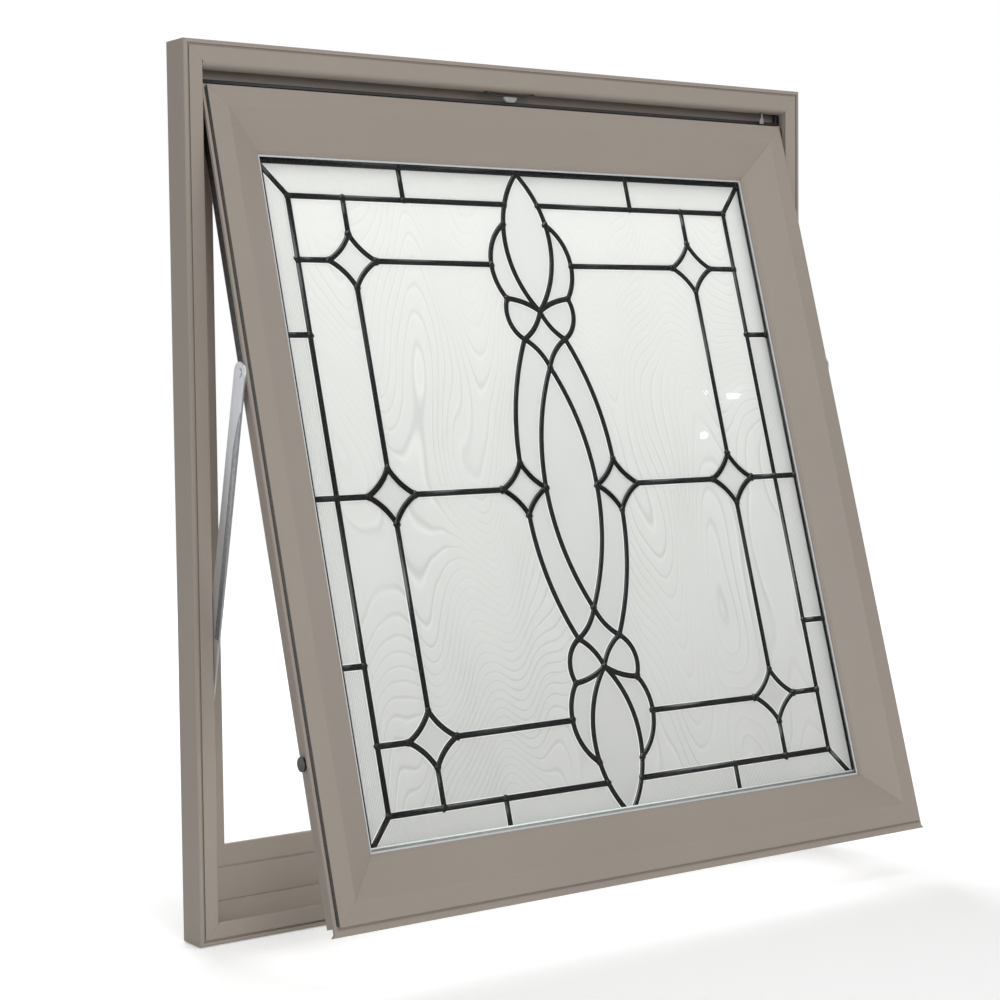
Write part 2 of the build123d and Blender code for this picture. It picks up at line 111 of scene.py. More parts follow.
def finishShader(tree, shader, socket="BSDF"):
    output = put(tree, "OutputMaterial")
    join(tree, shader, socket, output, "Surface")


# noise in the object's own space, which may be stretched along each way
def noise(tree, scale, detail, stretch=(1, 1, 1)):
    mapping = put(tree, "Mapping", Scale=stretch)
    join(tree, put(tree, "TexCoord"), "Object", mapping, "Vector")
    node = put(tree, "TexNoise", Scale=scale, Detail=detail)
    join(tree, mapping, "Vector", node, "Vector")
    return node


# the object's own coordinates, one by one
def ownPlace(tree):
    place = put(tree, "SeparateXYZ")
    join(tree, put(tree, "TexCoord"), "Object", place, "Vector")
    return place.outputs


# one arithmetic step on numbers or sockets
def calc(tree, operation, first, second=None):
    node = put(tree, "Math", {"operation": operation})
    for place, value in enumerate((first, second)):
        if value is None:
            continue
        if isinstance(value, (int, float)):
            node.inputs[place].default_value = value
        else:
            tree.links.new(value, node.inputs[place])
    return node.outputs[0]


# a value carried from one band to another, and held at its ends
def carried(tree, value, fromBand, toBand=(0.0, 1.0)):
    node = put(tree, "MapRange", From_Min=fromBand[0], From_Max=fromBand[1],
               To_Min=toBand[0], To_Max=toBand[1])
    tree.links.new(value, node.inputs["Value"])
    return node.outputs["Result"]


# colour by a factor, from stops of place and colour
def ramp(tree, factor, stops):
    node = put(tree, "ValToRGB")
    while len(node.color_ramp.elements) < len(stops):
        node.color_ramp.elements.new(0.5)
    for element, (place, colour) in zip(node.color_ramp.elements, stops):
        element.position = place
        element.color = (*colour, 1)
    tree.links.new(factor, node.inputs["Fac"])
    return node.outputs["Color"]


# from one colour to another over the middle of a noise
def twoTone(tree, source, low, high, band=(0.35, 0.65)):
    return ramp(tree, source.outputs["Fac"], [(band[0], low), (band[1], high)])


powderCoatLook = {
    "colour": (0.298, 0.260, 0.224),
    "shade": (0.280, 0.245, 0.211),
    "roughness": 0.5,
    "specular": 0.3,
    "cloudScale": 3.0,
    "peelScale": 700.0,
    "peelDepth": 0.00006,
    "peelShare": 0.25,
}


# satin powder coat with the faintest orange peel
def powderCoat():
    look = powderCoatLook
    material, tree = newMaterial("warmGreyPowderCoat")
    cloud = noise(tree, look["cloudScale"], 3.0)
    peel = noise(tree, look["peelScale"], 1.0)
    bump = put(tree, "Bump", Strength=look["peelShare"], Distance=look["peelDepth"])
    join(tree, peel, "Fac", bump, "Height")
    shader = put(tree, "BsdfPrincipled", Roughness=look["roughness"],
                 Specular_IOR_Level=look["specular"])
    tree.links.new(twoTone(tree, cloud, look["shade"], look["colour"]), shader.inputs["Base Color"])
    join(tree, bump, "Normal", shader, "Normal")
    finishShader(tree, shader)
    return material


stainlessLook = {
    "colour": (0.67, 0.685, 0.71),
    "streak": (0.52, 0.535, 0.56),
    "metallic": 0.75,
    "roughness": 0.33,
    "streakScale": 60.0,
    "streakStretch": (30, 30, 0.6),
    "streakBand": (0.3, 0.7),
    "brushDepth": 0.0001,
    "brushShare": 0.15,
}


# stainless strip, brushed along its length
def brushedSteel():
    look = stainlessLook
    material, tree = newMaterial("brushedStainless")
    streaks = noise(tree, look["streakScale"], 4.0, look["streakStretch"])
    shader = put(tree, "BsdfPrincipled", Metallic=look["metallic"], Roughness=look["roughness"])
    colour = twoTone(tree, streaks, look["streak"], look["colour"], look["streakBand"])
    tree.links.new(colour, shader.inputs["Base Color"])
    bump = put(tree, "Bump", Strength=look["brushShare"], Distance=look["brushDepth"])
    join(tree, streaks, "Fac", bump, "Height")
    join(tree, bump, "Normal", shader, "Normal")
    finishShader(tree, shader)
    return material


plainLooks = {
    # dark steel of the pins and the spring, and painted shade on the sash bars
    "darkSteelAndShade": {"colours": ((0.030, 0.030, 0.032), (0.060, 0.060, 0.062)), "metallic": 0.6,
                  "roughness": 0.34, "grain": 180.0, "depth": 0.00008},
    # shaded copy of the stay's steel, as painted shade on the stays
    "stayShadeSteel": {"colours": ((0.27, 0.28, 0.30), (0.36, 0.37, 0.39)), "metallic": 0.7,
                   "roughness": 0.40, "grain": 180.0, "depth": 0.00005},
    # steel darkened as painted shade of the hinge tracks behind the frame's lip; the corner tab takes it
    # too
    "trackSteel": {"colours": ((0.16, 0.158, 0.155), (0.24, 0.235, 0.23)), "metallic": 0.5,
                   "roughness": 0.45, "grain": 180.0, "depth": 0.00008},
    # dark plastic of the track shoes, and painted shade in the grooves beside the stiles
    "shoePlasticAndShade": {"colours": ((0.045, 0.044, 0.042), (0.075, 0.073, 0.070)), "metallic": 0.0,
                    "roughness": 0.5, "grain": 400.0, "depth": 0.00005},
    "blackRubber": {"colours": ((0.006, 0.006, 0.006), (0.014, 0.014, 0.015)), "metallic": 0.0,
                    "roughness": 0.62, "grain": 400.0, "depth": 0.00010},
    "greyPlastic": {"colours": ((0.22, 0.225, 0.215), (0.30, 0.30, 0.285)), "metallic": 0.0,
                    "roughness": 0.45, "grain": 500.0, "depth": 0.00005},
    "glazingTape": {"colours": ((0.50, 0.52, 0.53), (0.58, 0.59, 0.60)), "metallic": 0.0,
                    "roughness": 0.55, "grain": 300.0, "depth": 0.00010},
    "footSpacer": {"colours": ((0.235, 0.262, 0.250), (0.300, 0.325, 0.310)), "metallic": 0.0,
                   "roughness": 0.5, "grain": 90.0, "depth": 0.00006},
    "brightSealant": {"colours": ((0.90, 0.91, 0.90), (0.96, 0.97, 0.96)), "metallic": 0.0,
                      "roughness": 0.4, "grain": 90.0, "depth": 0.00006},
    "spacerMetal": {"colours": ((0.45, 0.47, 0.48), (0.60, 0.61, 0.62)), "metallic": 0.6,
                    "roughness": 0.40, "grain": 250.0, "depth": 0.00006},
}


# a quiet two-tone finish with a fine grain, for the small parts
def plainFinish(name):
    look = plainLooks[name]
    material, tree = newMaterial(name)
    grain = noise(tree, look["grain"], 3.0)
    bump = put(tree, "Bump", Strength=0.4, Distance=look["depth"])
    join(tree, grain, "Fac", bump, "Height")
    shader = put(tree, "BsdfPrincipled", Metallic=look["metallic"], Roughness=look["roughness"])
    tree.links.new(twoTone(tree, grain, *look["colours"]), shader.inputs["Base Color"])
    join(tree, bump, "Normal", shader, "Normal")
    finishShader(tree, shader)
    return material


leadLook = {
    "low": (0.002, 0.002, 0.002),
    "high": (0.008, 0.008, 0.008),
    # painted highlight: grey laid on the came's crown where it faces up and to the front left, towards the
    # key lamp
    "paintedHighlight": (0.170, 0.174, 0.170),
    "highlightWay": (-0.30, -0.75, 0.59),
    "crown": (0.935, 0.99),     # how squarely the came faces that way, where the highlight is painted
    "grain": 220.0,
    "depth": 0.0005,
    "depthShare": 0.5,
    "stretches": 11.0,          # scale of the stretches that get the painted highlight
    "highlightPatch": (0.38, 0.62),
    "leastHighlight": 0.15,
    "roughness": 0.4,
    "specular": 0.10,
}


# black patina on lead, with a painted grey highlight along the crown of the came that faces up and to the
# front left
def leadPatina():
    look = leadLook
    material, tree = newMaterial("leadPatina")
    grain = noise(tree, look["grain"], 3.0)
    bump = put(tree, "Bump", Strength=look["depthShare"], Distance=look["depth"])
    join(tree, grain, "Fac", bump, "Height")
    facing = put(tree, "VectorMath", {"operation": "DOT_PRODUCT"})
    join(tree, bump, "Normal", facing, 0)
    facing.inputs[1].default_value = look["highlightWay"]
    patina = twoTone(tree, grain, look["low"], look["high"])
    stretches = noise(tree, look["stretches"], 1.0)
    highlightPatch = carried(tree, stretches.outputs["Fac"], look["highlightPatch"], (look["leastHighlight"], 1.0))
    # painted highlight where the came faces that way, in stretches
    crown = carried(tree, facing.outputs["Value"], look["crown"])
    share = calc(tree, "MULTIPLY", crown, highlightPatch)
    paintedHighlight = ramp(tree, share, [(0.0, (0, 0, 0)), (1.0, look["paintedHighlight"])])
    both = put(tree, "Mix", {"data_type": "RGBA", "blend_type": "ADD"})
    both.inputs[0].default_value = 1.0
    tree.links.new(patina, both.inputs[6])
    tree.links.new(paintedHighlight, both.inputs[7])
    shader = put(tree, "BsdfPrincipled", Roughness=look["roughness"],
                 Specular_IOR_Level=look["specular"])
    tree.links.new(both.outputs[2], shader.inputs["Base Color"])
    join(tree, bump, "Normal", shader, "Normal")
    finishShader(tree, shader)
    return material


# share of light that a glass's near face reflects: little head on, most of it at grazing
def sheen(tree, share):
    facing = put(tree, "LayerWeight", Blend=0.5)
    edge = calc(tree, "POWER", facing.outputs["Facing"], 5.0)
    both = calc(tree, "ADD", calc(tree, "MULTIPLY", edge, 1 - share), share)
    side = put(tree, "NewGeometry")
    return calc(tree, "MULTIPLY", both, calc(tree, "SUBTRACT", 1.0, side.outputs["Backfacing"]))


clearGlassLook = {"tint": (0.994, 0.998, 0.996), "roughness": 0.01, "sheen": 0.009}


# float glass: see-through, with a reflection that grows towards grazing
def clearGlass():
    look = clearGlassLook
    material, tree = newMaterial("clearFloatGlass")
    through = put(tree, "BsdfTransparent", Color=(*look["tint"], 1))
    gloss = put(tree, "BsdfGlossy", Color=(1, 1, 1, 1), Roughness=look["roughness"])
    mix = put(tree, "MixShader")
    tree.links.new(sheen(tree, look["sheen"]), mix.inputs[0])
    join(tree, through, "BSDF", mix, 1)
    join(tree, gloss, "BSDF", mix, 2)
    finishShader(tree, mix, "Shader")
    return material


# share of milkiness, colour, and depth of the relief in metres
obscureLooks = {
    "grainGlass": {"milk": 0.85, "white": (0.97, 0.97, 0.955), "relief": 0.0010},
    "reededGlass": {"milk": 0.80, "white": (0.945, 0.945, 0.93), "relief": 0.0006},
    "bevelledGlass": {"milk": 0.80, "white": (0.95, 0.95, 0.94), "relief": 0.0002},
}
obscureBody = {
    "behindShare": 0.3,         # of the milky light, what comes through from behind
    "sheen": 0.03,
    "roughness": 0.07,
    "footDarker": 0.20,         # how much painted shade darkens the foot of the window
    "heights": (0.1, 0.80),     # between these heights, in metres, it brightens
}
grainLook = {
    "pitch": 0.024,             # height between lines, in metres, but for the arches
    "arches": 46.0,             # lines that the slow noise adds
    "archSize": (7.0, 2.0, 2.6),
    "ripple": 1.6,
    "rippleSize": (26.0, 4.0, 7.0),
    "patches": 6.5,
    "patchStretch": (1.3, 0.3, 0.8),
    "patchBand": (0.44, 0.60),
    "leastPatch": 0.30,
    "narrow": 6.0,              # the higher, the thinner the ridges
    "lag": 1.1,                 # of the painted shade line behind the painted highlight line
    "ridge": 0.5,
    "fibre": 0.25,
    "fibreScale": 150.0,
    "fibreStretch": (1.0, 0.2, 0.06),
    # painted shade and painted highlight of the relief, as dark and light lines in the glass's colour
    "dark": 0.13,
    "light": 0.07,
    "faint": 0.4,               # how strong the painted lines are at the window's top
    "fadeHeights": (0.35, 0.85),
}


# flowing wood grain: thin ridges along the level lines of a slow noise, in patches
def grainLines(tree):
    look = grainLook
    height = ownPlace(tree)["Z"]
    level = calc(tree, "MULTIPLY", height, 1 / look["pitch"])
    for size, rise in ((look["archSize"], look["arches"]), (look["rippleSize"], look["ripple"])):
        slow = noise(tree, 1.0, 0.6, size)
        level = calc(tree, "ADD", level, calc(tree, "MULTIPLY", slow.outputs["Fac"], rise))
    turn = calc(tree, "MULTIPLY", level, 2 * math.pi)
    patch = noise(tree, look["patches"], 1.5, look["patchStretch"])
    mask = carried(tree, patch.outputs["Fac"], look["patchBand"], (look["leastPatch"], 1.0))
    fading = carried(tree, height, look["fadeHeights"], (1.0, look["faint"]))
    strength = calc(tree, "MULTIPLY", mask, fading)
    lines = []
    for lag in (0.0, look["lag"]):
        wave = calc(tree, "SINE", calc(tree, "SUBTRACT", turn, lag))
        ridge = calc(tree, "POWER", calc(tree, "MAXIMUM", wave, 0.0), look["narrow"])
        lines.append(calc(tree, "MULTIPLY", ridge, strength))
    return lines


# height of the grain, and the painted highlight and painted shade of its ridges
def grainHeight(tree):
    look = grainLook
    light, dark = grainLines(tree)
    fibre = noise(tree, look["fibreScale"], 2.0, look["fibreStretch"])
    height = calc(tree, "ADD", calc(tree, "MULTIPLY", light, look["ridge"]),
                  calc(tree, "MULTIPLY", fibre.outputs["Fac"], look["fibre"]))
    # painted highlight on each ridge, and painted shade just behind it
    shade = calc(tree, "SUBTRACT", calc(tree, "MULTIPLY", light, look["light"]),
                 calc(tree, "MULTIPLY", dark, look["dark"]))
    return height, calc(tree, "ADD", shade, 1 - look["light"])


reedLook = {
    "pitch": 0.0022,            # from reed to reed, in metres
    "rise": 0.35,
    "wobbleScale": 90.0,
    "wobbleStretch": (1, 0.1, 0.1),
    # painted shade: the colour swings with the reeds, lighter on the crests and darker in the grooves
    "shade": 0.97,
    "shadeSwing": 0.02,
}


# fine upright reeds, with painted highlight on their crests and painted shade in their grooves
def reedHeight(tree):
    look = reedLook
    turn = calc(tree, "MULTIPLY", ownPlace(tree)["X"], 2 * math.pi / look["pitch"])
    wave = calc(tree, "SINE", turn)
    wobble = noise(tree, look["wobbleScale"], 1.0, look["wobbleStretch"])
    height = calc(tree, "ADD", calc(tree, "MULTIPLY", wave, look["rise"]), wobble.outputs["Fac"])
    return height, calc(tree, "ADD", calc(tree, "MULTIPLY", wave, look["shadeSwing"]), look["shade"])


bevelLook = {
    "outWay": (0, -0.9613, 0.2756),
    "bevel": 0.97,              # below this match with the way out a face is bevel
    "flat": 0.999,              # and above this it is flat
    # painted shade on the flat faces, against the lighter bevels
    "flatShade": 0.92,
    "cloudScale": 14.0,
    "cloudShade": 0.04,
}


# smooth glass whose flat middle is a little darker than its bevels, as painted shade by facing, with a soft
# random cloud
def smoothHeight(tree):
    look = bevelLook
    soft = noise(tree, look["cloudScale"], 1.0)
    facing = put(tree, "VectorMath", {"operation": "DOT_PRODUCT"})
    join(tree, put(tree, "NewGeometry"), "Normal", facing, 0)
    facing.inputs[1].default_value = look["outWay"]
    # painted shade: faces that look straight out are darker than the bevels
    flat = carried(tree, facing.outputs["Value"], (look["bevel"], look["flat"]), (1.0, look["flatShade"]))
    cloud = calc(tree, "MULTIPLY", soft.outputs["Fac"], look["cloudShade"])
    cloud = calc(tree, "ADD", cloud, 1 - look["cloudShade"])
    return soft.outputs["Fac"], calc(tree, "MULTIPLY", cloud, flat)


# painted shade: the glass's colour darkens towards the foot of the window
def footShade(tree, shade):
    body = obscureBody
    rise = carried(tree, ownPlace(tree)["Z"], body["heights"], (1 - body["footDarker"], 1.0))
    return calc(tree, "MULTIPLY", shade, rise)


# obscure glass: partly milky, partly see-through, with its relief pressed in
def obscureGlass(name, heightOf):
    look = obscureLooks[name]
    material, tree = newMaterial(name)
    height, shade = heightOf(tree)
    bump = put(tree, "Bump", Strength=1.0, Distance=look["relief"])
    tree.links.new(height, bump.inputs["Height"])
    colour = ramp(tree, footShade(tree, shade), [(0.0, (0, 0, 0)), (1.0, look["white"])])
    front = put(tree, "BsdfDiffuse")
    behind = put(tree, "BsdfTranslucent")
    for shader in (front, behind):
        tree.links.new(colour, shader.inputs["Color"])
        join(tree, bump, "Normal", shader, "Normal")
    milk = put(tree, "MixShader", Fac=obscureBody["behindShare"])
    join(tree, front, "BSDF", milk, 1)
    join(tree, behind, "BSDF", milk, 2)
    through = put(tree, "BsdfTransparent")
    tree.links.new(colour, through.inputs["Color"])
    body = put(tree, "MixShader", Fac=look["milk"])
    join(tree, through, "BSDF", body, 1)
    join(tree, milk, "Shader", body, 2)
    gloss = put(tree, "BsdfGlossy", Roughness=obscureBody["roughness"])
    join(tree, bump, "Normal", gloss, "Normal")
    coated = put(tree, "MixShader")
    tree.links.new(sheen(tree, obscureBody["sheen"]), coated.inputs[0])
    join(tree, body, "Shader", coated, 1)
    join(tree, gloss, "BSDF", coated, 2)
    finishShader(tree, coated, "Shader")
    return material


finishes = {
    "coat": powderCoat(),
    "leadPatina": leadPatina(),
    "steel": brushedSteel(),
    "clear": clearGlass(),
    "grain": obscureGlass("grainGlass", grainHeight),
    "reeded": obscureGlass("reededGlass", reedHeight),
    "bevelled": obscureGlass("bevelledGlass", smoothHeight),
}
for plainName in plainLooks:
    finishes[plainName] = plainFinish(plainName)
print("materials made:", len(finishes))

finishOfNode = {
    "coat": ("frame_", "sill_upstand", "sash_top", "sash_bottom", "sash_stile", "glazing_bead"),
    "steel": ("stay_",),
    # the hinge tracks are darkened as painted shade
    "trackSteel": ("hinge_track",),
    # the sash bars take the dark steel as painted shade
    "darkSteelAndShade": ("sash_bar", "head_bracket", "lock_pin"),
    "greyPlastic": ("head_block",),
    "shoePlasticAndShade": ("track_shoe",),
    "blackRubber": ("sash_seal",),
    "glazingTape": ("glazing_gasket",),
    "spacerMetal": ("spacer_",),
    "leadPatina": ("came_lattice",),
    "clear": ("outer_pane", "inner_pane"),
    "reeded": ("border_glass",),
    "grain": ("field_glass",),
    "bevelled": ("centre_glass", "corner_bevels"),
}


def dressNodes():
    for finish, starts in finishOfNode.items():
        for name, node in nodes.items():
            if name.startswith(starts):
                node.data.materials.clear()
                node.data.materials.append(finishes[finish])


dressNodes()
print("nodes dressed")

edgeRounding = {"width": 0.00022, "segments": 2, "angle": 35.0}


# the coated bars get the small rounded edges of an extrusion
def roundEdges():
    for name, node in nodes.items():
        if not name.startswith(finishOfNode["coat"]):
            continue
        weld = node.modifiers.new("weld", "WELD")
        weld.merge_threshold = 0.00001
        bevel = node.modifiers.new("edges", "BEVEL")
        bevel.width = edgeRounding["width"]
        bevel.segments = edgeRounding["segments"]
        bevel.limit_method = "ANGLE"
        bevel.angle_limit = math.radians(edgeRounding["angle"])
        bevel.harden_normals = True


roundEdges()
print("edges rounded")

# lead lines of the pattern, for the quarter to the right and above its middle, in millimetres
lead = {
    "halfWidth": 4.2,
    "halfHeight": 2.75,
    "edgeAcross": 359.0,
    "edgeUp": 390.5,
    "borderAcross": 325.0,
    "borderUp": 350.5,
    "corner": (253.0, 275.0, 32.0),
    "side": (253.0, 0.0, 32.0),
    "middle": (69.3, 0.0, 31.4),
    "dish": 3.5,
    "tickAcross": 170.0,
    "tickUp": 187.0,
    "budTop": 216.3,
    "budSide": (30.3, 181.5),
    "budFoot": (0, 146.8),
    "budBends": ((12.7, 195.5), (12.7, 167.5)),
    "bladeHalf": 33.5,
    "hornTop": 326.0,
    "hornKnee": (59.6, 274.2),
    "hornFoot": (45.4, 232.2),
    "hornBends": ((51, 305), (55.5, 250), (21, 227)),
    "earBend": (49.2, 209.5),
    "ribbonBend": (56, 118),
    "ovalBend": (26.5, 82),
    "jointSize": 4.8,
    "jointSpread": (0.86, 1.08),
    "cement": 1.6,
    "cementHeight": 2.1,
    "edgeOverrun": 2.0,         # how far the edge cames run past the corners
    "edgeHeight": 0.96,
    # each edge came's middle, across or up, and its half width
    "edgeCames": {
        "left": (355.0, 4.0),
        "right": (358.6, 1.9),
        "top": (391.4, 4.4),
        "bottom": (391.0, 3.0),
    },
}


# half width of the pointed blade at a height
def bladeAcross(up):
    rise = (lead["edgeUp"] - lead["budTop"]) / 2
    radius = (rise ** 2 + lead["bladeHalf"] ** 2) / (2 * lead["bladeHalf"])
    height = up - (lead["edgeUp"] + lead["budTop"]) / 2
    return math.sqrt(radius ** 2 - height ** 2) - (radius - lead["bladeHalf"])


# the four dished sides of a bevelled square
def squareSides(square):
    across, up, half = square
    keep = 1 - lead["dish"] / (half * math.sqrt(0.5))
    tips = [(across, up + half), (across + half, up), (across, up - half), (across - half, up)]
    sides = []
    for first, last in zip(tips, tips[1:] + tips[:1]):
        bent = (across + ((first[0] + last[0]) / 2 - across) * keep,
                up + ((first[1] + last[1]) / 2 - up) * keep)
        sides.append((first, bent, last))
    return sides


# lines of the quarter, straight between two points or bent through three
def quarterLines():
    edgeX, edgeZ = lead["edgeAcross"], lead["edgeUp"]
    borderX, borderZ = lead["borderAcross"], lead["borderUp"]
    cornerX, cornerZ, cornerHalf = lead["corner"]
    middleX, middleHalf = lead["middle"][0], lead["middle"][2]
    bud, budFoot = lead["budSide"], lead["budFoot"]
    budUpper, budLower = lead["budBends"]
    foot, knee = lead["hornFoot"], lead["hornKnee"]
    hornUpper, hornLower, hornInner = lead["hornBends"]
    bladeTip = (0, lead["budTop"])
    bladeMiddle = (lead["budTop"] + edgeZ) / 2
    hornTip = (bladeAcross(lead["hornTop"]), lead["hornTop"])
    lines = [
        ((borderX, 0), (borderX, borderZ)),
        ((bladeAcross(borderZ), borderZ), (borderX, borderZ)),
        ((borderX, borderZ), (edgeX, edgeZ)),
        ((lead["tickAcross"], borderZ), (lead["tickAcross"], edgeZ)),
        ((borderX, lead["tickUp"]), (edgeX, lead["tickUp"])),
        ((cornerX, cornerZ + cornerHalf), (cornerX, borderZ)),
        ((cornerX + cornerHalf, cornerZ), (borderX, cornerZ)),
        ((cornerX, cornerZ - cornerHalf), (cornerX, cornerHalf)),
        ((cornerX - cornerHalf, cornerZ), knee),
        ((cornerX + cornerHalf, 0), (edgeX, 0)),
        ((middleX + middleHalf, 0), (cornerX - cornerHalf, 0)),
        (bladeTip, (lead["bladeHalf"], bladeMiddle), (0, edgeZ)),
        (hornTip, hornUpper, knee),
        (knee, hornLower, foot),
        (foot, hornInner, bladeTip),
        (foot, lead["earBend"], bud),
        (bud, budUpper, bladeTip),
        (bud, budLower, budFoot),
        (bud, lead["ribbonBend"], (middleX, middleHalf)),
        (budFoot, lead["ovalBend"], (middleX - middleHalf, 0)),
    ]
    for square in (lead["corner"], lead["side"], lead["middle"]):
        lines += squareSides(square)
    return lines


# every line of the pattern with the signs of its quarter, where those on the middle height come once
def patternLines():
    lines = []
    for line in quarterLines():
        onMiddle = all(up == 0 for across, up in line)
        heights = (1,) if onMiddle else (-1, 1)
        lines += [(line, x, z) for x in (-1, 1) for z in heights]
    return lines


# points along a line, or along the arc through three points
def along(line, step=4.0):
    points = [Vector(point) for point in line]
    if len(points) == 2:
        return points
    first, bent, last = points
    a, b = bent - first, last - first
    cross = a.x * b.y - a.y * b.x
    toMiddle = Vector((b.y * a.length_squared - a.y * b.length_squared,
                       a.x * b.length_squared - b.x * a.length_squared)) / (2 * cross)
    middle, radius = first + toMiddle, toMiddle.length
    start = math.atan2(-toMiddle.y, -toMiddle.x)
    swing = math.atan2(last.y - middle.y, last.x - middle.x) - start
    turn = 1 if cross > 0 else -1
    while swing * turn < 0:
        swing += 2 * math.pi * turn
    while swing * turn > 2 * math.pi:
        swing -= 2 * math.pi * turn
    count = max(4, int(abs(swing) * radius / step))
    angles = [start + swing * k / count for k in range(count + 1)]
    return [middle + Vector((math.cos(angle), math.sin(angle))) * radius for angle in angles]


# section of rounded came, as across and behind
def cameSection(halfWidth, halfHeight, count=14, fullness=0.85):
    section = []
    for k in range(count):
        angle = 2 * math.pi * k / count
        c, s = math.cos(angle), math.sin(angle)
        section.append((halfWidth * math.copysign(abs(c) ** fullness, c),
                        halfHeight * math.copysign(abs(s) ** fullness, s)))
    return section


# faces between each ring of points and the next
def skin(mesh, rings):
    count = len(rings[0])
    for first, second in zip(rings, rings[1:]):
        for k in range(count):
            mesh.faces.new((first[k], first[(k + 1) % count], second[(k + 1) % count], second[k]))


# a bar of the section along one line, in the quarter that x and z turn it to
def sweep(mesh, points, section, x, z):
    rings = []
    for k, point in enumerate(points):
        before, after = points[max(k - 1, 0)], points[min(k + 1, len(points) - 1)]
        way = (after - before).normalized()
        side = Vector((-way.y, way.x))
        ring = []
        for across, behind in section:
            place = point + side * across
            ring.append(mesh.verts.new(onSash(x * place.x, z * place.y - sash["panelDrop"],
                                              sash["panelDepth"] + behind)))
        rings.append(ring)
    skin(mesh, rings)
    mesh.faces.new(rings[0])
    mesh.faces.new(rings[-1][::-1])


solderBead = {
    "sides": 18,
    # from the rim to the top: how wide, and how high as a share of the came's half height
    "rings": [(1.0, 0.62), (0.85, 0.97), (0.55, 1.14), (0.2, 1.2)],
    "threeLobes": 0.12,
    "fiveLobes": 0.06,
}


# a flattened bead of solder where lines meet, on both faces of the panel
def solder(mesh, point, size, rough):
    bead = solderBead
    for face in (-1, 1):
        rings = []
        for share, height in bead["rings"]:
            ring = []
            for k in range(bead["sides"]):
                angle = 2 * math.pi * k / bead["sides"]
                reach = size * share * (1 + bead["threeLobes"] * math.sin(angle * 3 + rough)
                                        + bead["fiveLobes"] * math.sin(angle * 5 - rough))
                ring.append(mesh.verts.new(onSash(
                    point[0] + math.cos(angle) * reach, point[1] + math.sin(angle) * reach,
                    sash["panelDepth"] + face * lead["halfHeight"] * height)))
            rings.append(ring)
        skin(mesh, rings)
        mesh.faces.new(rings[-1])


# turns a finished mesh into a smooth piece that rides with the window
def makePiece(name, mesh, finish, replaced=()):
    bmesh.ops.recalc_face_normals(mesh, faces=mesh.faces)
    data = bpy.data.meshes.new(name)
    mesh.to_mesh(data)
    mesh.free()
    data.polygons.foreach_set("use_smooth", [True] * len(data.polygons))
    piece = bpy.data.objects.new(name, data)
    scene.collection.objects.link(piece)
    data.materials.append(finishes[finish])
    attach(piece, "root")
    if replaced:
        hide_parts(*replaced)
    return piece


# pale line of cement that shows beside each came
def makeCement():
    mesh = bmesh.new()
    section = cameSection(lead["halfWidth"] + lead["cement"], lead["cementHeight"], 8)
    for line, x, z in patternLines():
        sweep(mesh, along(line), section, x, z)
    makePiece("cameCement", mesh, "brightSealant")


# the came itself, with its edge cames and solder
def makeLeadCame():
    mesh = bmesh.new()
    section = cameSection(lead["halfWidth"], lead["halfHeight"])
    joints = set()
    for line, x, z in patternLines():
        sweep(mesh, along(line), section, x, z)
        for point in (line[0], line[-1]):
            joints.add((round(x * point[0], 1), round(z * point[1] - sash["panelDrop"], 1)))
    longX, longZ = lead["edgeAcross"] + lead["edgeOverrun"], lead["edgeUp"] + lead["edgeOverrun"]
    for side, (place, halfWidth) in lead["edgeCames"].items():
        edgeSection = cameSection(halfWidth, lead["halfHeight"] * lead["edgeHeight"])
        sign = -1 if side in ("left", "bottom") else 1
        if side in ("left", "right"):
            ends = [Vector((sign * place, -longZ)), Vector((sign * place, longZ))]
        else:
            ends = [Vector((-longX, sign * place)), Vector((longX, sign * place))]
        sweep(mesh, ends, edgeSection, 1, 1)
    dice = random.Random(7)
    for point in sorted(joints):
        solder(mesh, point, lead["jointSize"] * dice.uniform(*lead["jointSpread"]), dice.uniform(0, 6))
    makePiece("leadCame", mesh, "leadPatina", ["came_lattice"])


makeCement()
makeLeadCame()
print("lead came made")

# a straight bar along the window's width or height, from a closed section;
# placeOf turns a station and a section point into a place
def bar(mesh, stations, section, placeOf):
    rings = [[mesh.verts.new(placeOf(station, point)) for point in section] for station in stations]
    skin(mesh, rings)
    mesh.faces.new(rings[0])
    mesh.faces.new(rings[-1][::-1])


# rounded box as a closed section, with its corners eased
def easedBox(left, right, low, high, ease):
    points = []
    for x, y, start in ((right - ease, high - ease, 0), (left + ease, high - ease, 90),
                        (left + ease, low + ease, 180), (right - ease, low + ease, 270)):
        for k in range(4):
            angle = math.radians(start + 30 * k)
            points.append((x + ease * math.cos(angle), y + ease * math.sin(angle)))
    return points


# strips on the sash, as places on its face and depths behind it, in millimetres
weatherStripAndShade = {"halfLength": 428.5, "low": 462.3, "high": 466.5, "front": 3.4, "back": 9.2, "ease": 1.1}


# black flap on the lip of the sash's top rail: a weather strip, and painted shade of the gap under the head
def makeWeatherStripAndShade():
    size = weatherStripAndShade
    section = easedBox(size["low"], size["high"], size["front"], size["back"], size["ease"])
    ends = size["halfLength"]
    stations = [-ends, -ends / 2, 0, ends / 2, ends]
    mesh = bmesh.new()
    bar(mesh, stations, section, lambda across, point: onSash(across, point[0], point[1]))
    makePiece("topWeatherStripAndShade", mesh, "blackRubber")


# dark strip in the groove beside each stile, painted shade of the groove, given as how far out and how far
# behind the face
grooveShadeStrip = {
    "faceEdge": 423.5,
    "halfLength": 458.0,
    "section": [(0.0, 1.8), (0.5, 1.8), (0.6, 5.0), (2.1, 5.2), (2.1, 5.9), (0.0, 5.9)],
}


